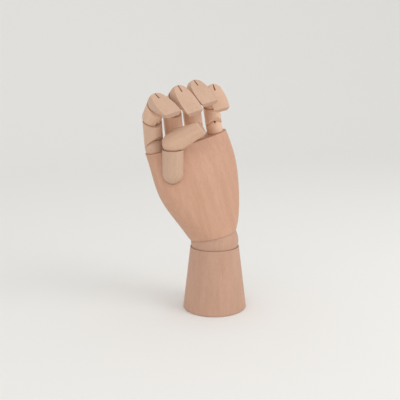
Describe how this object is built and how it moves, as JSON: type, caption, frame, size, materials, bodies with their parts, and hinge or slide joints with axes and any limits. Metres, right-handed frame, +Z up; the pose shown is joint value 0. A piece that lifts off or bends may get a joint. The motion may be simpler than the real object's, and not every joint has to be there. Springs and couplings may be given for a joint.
{
  "type": "wooden hand mannequin",
  "caption": "Wooden left hand on a tapered forearm, with a ball wrist, swivelling knuckles and pinned finger and thumb joints that hold a pose for drawing.",
  "frame": {"origin": "centre of the forearm's flat foot", "axes": "+Z up along the forearm, -Y to the palm side, -X to the thumb side"},
  "size_m": [0.1051, 0.0706, 0.2223],
  "materials": {
    "body_wood": "satin",
    "finger_wood": "satin",
    "steel": "satin"
  },
  "bodies": {
    "forearm": {"forearm": "body_wood", "spring_pin": "steel"},
    "wrist_spring": {"wrist_spring": "steel"},
    "wrist_ball": {"wrist_ball": "body_wood"},
    "palm": {"palm": "body_wood", "palm_eye": "steel", "thumb_eye": "steel"},
    "index_knuckle": {"index_knuckle": "finger_wood", "index_knuckle_pin": "steel"},
    "index_proximal": {"index_proximal": "finger_wood", "index_proximal_link": "steel", "index_proximal_pin": "steel"},
    "index_middle": {"index_middle": "finger_wood", "index_middle_link": "steel", "index_middle_pins": "steel"},
    "index_distal": {"index_distal": "finger_wood", "index_distal_pin": "steel"},
    "middle_knuckle": {"middle_knuckle": "finger_wood", "middle_knuckle_pin": "steel"},
    "middle_proximal": {"middle_proximal": "finger_wood", "middle_proximal_link": "steel", "middle_proximal_pin": "steel"},
    "middle_middle": {"middle_middle": "finger_wood", "middle_middle_link": "steel", "middle_middle_pins": "steel"},
    "middle_distal": {"middle_distal": "finger_wood", "middle_distal_pin": "steel"},
    "ring_knuckle": {"ring_knuckle": "finger_wood", "ring_knuckle_pin": "steel"},
    "ring_proximal": {"ring_proximal": "finger_wood", "ring_proximal_link": "steel", "ring_proximal_pin": "steel"},
    "ring_middle": {"ring_middle": "finger_wood", "ring_middle_link": "steel", "ring_middle_pins": "steel"},
    "ring_distal": {"ring_distal": "finger_wood", "ring_distal_pin": "steel"},
    "pinky_knuckle": {"pinky_knuckle": "finger_wood", "pinky_knuckle_pin": "steel"},
    "pinky_proximal": {"pinky_proximal": "finger_wood", "pinky_proximal_link": "steel", "pinky_proximal_pin": "steel"},
    "pinky_middle": {"pinky_middle": "finger_wood", "pinky_middle_link": "steel", "pinky_middle_pins": "steel"},
    "pinky_distal": {"pinky_distal": "finger_wood", "pinky_distal_pin": "steel"},
    "thumb_proximal": {"thumb_proximal": "finger_wood", "thumb_link": "steel", "thumb_proximal_pins": "steel"},
    "thumb_distal": {"thumb_distal": "finger_wood", "thumb_distal_pin": "steel"}
  },
  "joints": [
    {"name": "wrist_twist", "type": "hinge", "parent": "forearm", "child": "wrist_spring", "pos_m": [0, 0, 0.067], "axis": [0, 0, 1], "range_deg": [-90, 90], "deforming": ["wrist_spring"]},
    {"name": "wrist_nod", "type": "hinge", "parent": "wrist_spring", "child": "wrist_ball", "pos_m": [0, 0, 0.067], "axis": [1, 0, 0], "range_deg": [-10.5, 21.5], "deforming": ["wrist_spring"]},
    {"name": "wrist_tilt", "type": "hinge", "parent": "wrist_ball", "child": "palm", "pos_m": [0, 0, 0.067], "axis": [0, 0.9954, -0.0958], "range_deg": [-9, 31], "deforming": ["wrist_spring"]},
    {"name": "index_swivel", "type": "hinge", "parent": "palm", "child": "index_knuckle", "pos_m": [-0.05719, 0.01018, 0.15712], "axis": [-0.2485, -0.0763, 0.9656], "range_deg": [-14, 2.5]},
    {"name": "index_base_bend", "type": "hinge", "parent": "index_knuckle", "child": "index_proximal", "pos_m": [-0.05843, 0.0098, 0.16195], "axis": [-0.9556, -0.1437, -0.2572], "range_deg": [-14, 40]},
    {"name": "index_middle_bend", "type": "hinge", "parent": "index_proximal", "child": "index_middle", "pos_m": [-0.06413, -0.00068, 0.18897], "axis": [0.9556, 0.1437, 0.2572], "range_deg": [-50, 24]},
    {"name": "index_tip_bend", "type": "hinge", "parent": "index_middle", "child": "index_distal", "pos_m": [-0.06492, -0.01738, 0.20125], "axis": [0.9556, 0.1437, 0.2572], "range_deg": [-76, 14]},
    {"name": "middle_swivel", "type": "hinge", "parent": "palm", "child": "middle_knuckle", "pos_m": [-0.0359, 0.01072, 0.16264], "axis": [-0.2485, -0.0763, 0.9656], "range_deg": [-4, 1.5]},
    {"name": "middle_base_bend", "type": "hinge", "parent": "middle_knuckle", "child": "middle_proximal", "pos_m": [-0.03714, 0.01034, 0.16747], "axis": [-0.958, -0.1282, -0.2566], "range_deg": [-12, 34]},
    {"name": "middle_middle_bend", "type": "hinge", "parent": "middle_proximal", "child": "middle_middle", "pos_m": [-0.04397, 0.00176, 0.19726], "axis": [0.958, 0.1282, 0.2566], "range_deg": [-60, 8]},
    {"name": "middle_tip_bend", "type": "hinge", "parent": "middle_middle", "child": "middle_distal", "pos_m": [-0.0443, -0.01767, 0.20817], "axis": [0.958, 0.1282, 0.2566], "range_deg": [-82, 6]},
    {"name": "ring_swivel", "type": "hinge", "parent": "palm", "child": "ring_knuckle", "pos_m": [-0.01461, 0.01125, 0.16816], "axis": [-0.2485, -0.0763, 0.9656], "range_deg": [-1.5, 1.5]},
    {"name": "ring_base_bend", "type": "hinge", "parent": "ring_knuckle", "child": "ring_proximal", "pos_m": [-0.01585, 0.01087, 0.17299], "axis": [-0.966, -0.0537, -0.2528], "range_deg": [-6, 30]},
    {"name": "ring_middle_bend", "type": "hinge", "parent": "ring_proximal", "child": "ring_middle", "pos_m": [-0.02298, 0.00513, 0.20144], "axis": [0.966, 0.0537, 0.2528], "range_deg": [-60, 4]},
    {"name": "ring_tip_bend", "type": "hinge", "parent": "ring_middle", "child": "ring_distal", "pos_m": [-0.02521, -0.01187, 0.21356], "axis": [0.966, 0.0537, 0.2528], "range_deg": [-82, 6]},
    {"name": "pinky_swivel", "type": "hinge", "parent": "palm", "child": "pinky_knuckle", "pos_m": [0.00668, 0.01178, 0.17368], "axis": [-0.2485, -0.0763, 0.9656], "range_deg": [-1.5, 12]},
    {"name": "pinky_base_bend", "type": "hinge", "parent": "pinky_knuckle", "child": "pinky_proximal", "pos_m": [0.00544, 0.0114, 0.17851], "axis": [-0.9554, 0.1836, -0.2313], "range_deg": [-16, 34]},
    {"name": "pinky_middle_bend", "type": "hinge", "parent": "pinky_proximal", "child": "pinky_middle", "pos_m": [-0.00178, 0.00474, 0.20303], "axis": [0.9554, -0.1836, 0.2313], "range_deg": [-8, 8]},
    {"name": "pinky_tip_bend", "type": "hinge", "parent": "pinky_middle", "child": "pinky_distal", "pos_m": [-0.00677, -0.01129, 0.21091], "axis": [0.9554, -0.1836, 0.2313], "range_deg": [-12, 6]},
    {"name": "thumb_base_bend", "type": "hinge", "parent": "palm", "child": "thumb_proximal", "pos_m": [-0.04859, -0.01054, 0.13805], "axis": [-0.8611, 0.5082, 0.0136], "range_deg": [-60, 3]},
    {"name": "thumb_tip_bend", "type": "hinge", "parent": "thumb_proximal", "child": "thumb_distal", "pos_m": [-0.04852, -0.01115, 0.16524], "axis": [0.5528, 0.8331, 0.0173], "range_deg": [-34, 1.5]}
  ]
}
